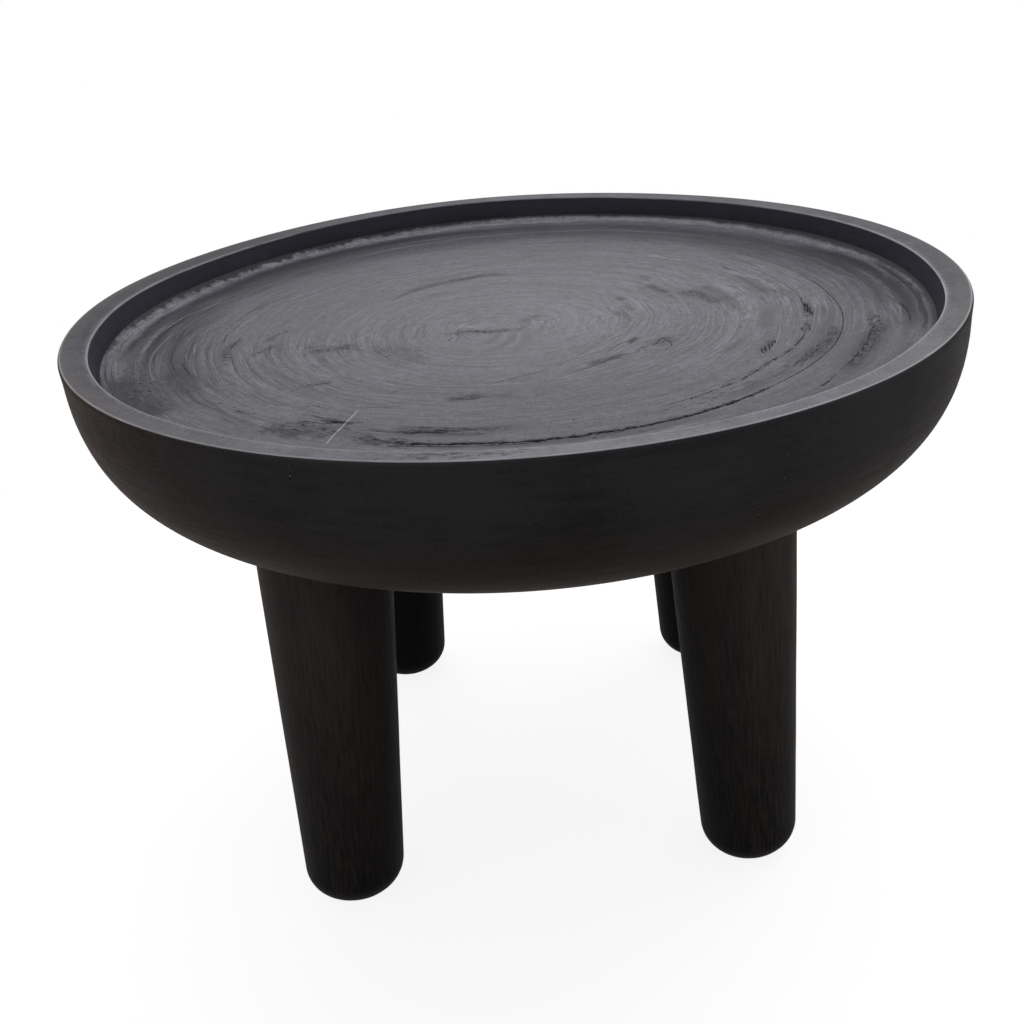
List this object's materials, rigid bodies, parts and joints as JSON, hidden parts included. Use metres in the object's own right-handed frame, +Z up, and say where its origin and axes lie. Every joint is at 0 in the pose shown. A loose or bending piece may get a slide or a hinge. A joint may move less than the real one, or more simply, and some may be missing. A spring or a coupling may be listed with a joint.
{
  "type": "african drum table",
  "caption": "Low round table: a thick turned bowl with a shallow rimmed tray in its top, on stout splayed round legs housed and tenoned into its underside, all in black-stained wood.",
  "frame": {"origin": "on the floor, under the centre of the tray; the centre of the bottom of the bounding box", "axes": "+Z up, -Y to the front, +X to the right; the legs stand on the diagonals"},
  "size_m": [0.7106, 0.7106, 0.466],
  "materials": {
    "stained_wood_bowl": "black stain, satin wax, turned, growth rings and ring cracks showing",
    "stained_wood_leg": "black stain, satin wax, grain along the leg",
    "bare_hardwood": "bare, sawn",
    "glide_plastic": "moulded, matt",
    "glide_felt": "pressed felt",
    "glide_screw": "zinc plated"
  },
  "bodies": {
    "root": {"tray_top": "stained_wood_bowl", "leg_front_left": "stained_wood_leg", "leg_front_right": "stained_wood_leg", "leg_back_left": "stained_wood_leg", "leg_back_right": "stained_wood_leg", "tenon_wedge_front_left": "bare_hardwood", "tenon_wedge_front_right": "bare_hardwood", "tenon_wedge_back_left": "bare_hardwood", "tenon_wedge_back_right": "bare_hardwood", "glide_cup_front_left": "glide_plastic", "glide_cup_front_right": "glide_plastic", "glide_cup_back_left": "glide_plastic", "glide_cup_back_right": "glide_plastic", "glide_felt_front_left": "glide_felt", "glide_felt_front_right": "glide_felt", "glide_felt_back_left": "glide_felt", "glide_felt_back_right": "glide_felt", "glide_screw_front_left": "glide_screw", "glide_screw_front_right": "glide_screw", "glide_screw_back_left": "glide_screw", "glide_screw_back_right": "glide_screw"}
  },
  "joints": []
}
